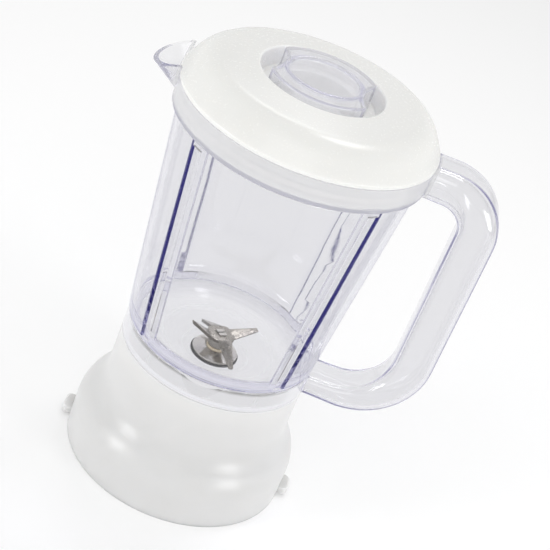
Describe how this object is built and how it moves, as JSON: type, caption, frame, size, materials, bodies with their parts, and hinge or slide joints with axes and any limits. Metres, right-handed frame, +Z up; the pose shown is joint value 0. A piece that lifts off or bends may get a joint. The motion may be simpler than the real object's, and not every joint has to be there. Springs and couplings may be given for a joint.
{
  "type": "blender jar",
  "caption": "Clear blender jar with a hollow handle and pouring spout, a domed lid with a measuring cap, a turning stainless blade unit and a white bayonet base.",
  "frame": {"origin": "centre of the base's bore, level with the foot ring", "axes": "+Z up along the jar's axis, +X towards the handle, -X towards the spout"},
  "size_m": [0.1846, 0.13, 0.2342],
  "materials": {
    "clear_plastic": "clear, glossy",
    "white_plastic": "glossy white",
    "stainless_steel": "polished",
    "bronze": "sintered",
    "rubber": "matt",
    "nylon": "natural"
  },
  "bodies": {
    "jar": {"jug": "clear_plastic", "lid": "white_plastic", "lid_seal": "rubber", "measuring_cap": "clear_plastic", "base_collar": "white_plastic", "bearing_housing": "stainless_steel", "housing_gasket": "rubber", "upper_bush": "bronze", "lower_bush": "bronze", "shaft_seal": "rubber", "upper_thrust_washer": "nylon", "clamp_washer": "stainless_steel", "clamp_nut": "stainless_steel"},
    "rotor": {"drive_shaft": "stainless_steel", "blade": "stainless_steel", "blade_spacer": "stainless_steel", "lower_thrust_washer": "nylon", "retaining_clip": "stainless_steel", "drive_coupling": "nylon"}
  },
  "joints": [
    {"name": "blade_spin", "type": "hinge", "parent": "jar", "child": "rotor", "pos_m": [0, 0, 0.06], "axis": [0, 0, 1], "continuous": true}
  ]
}
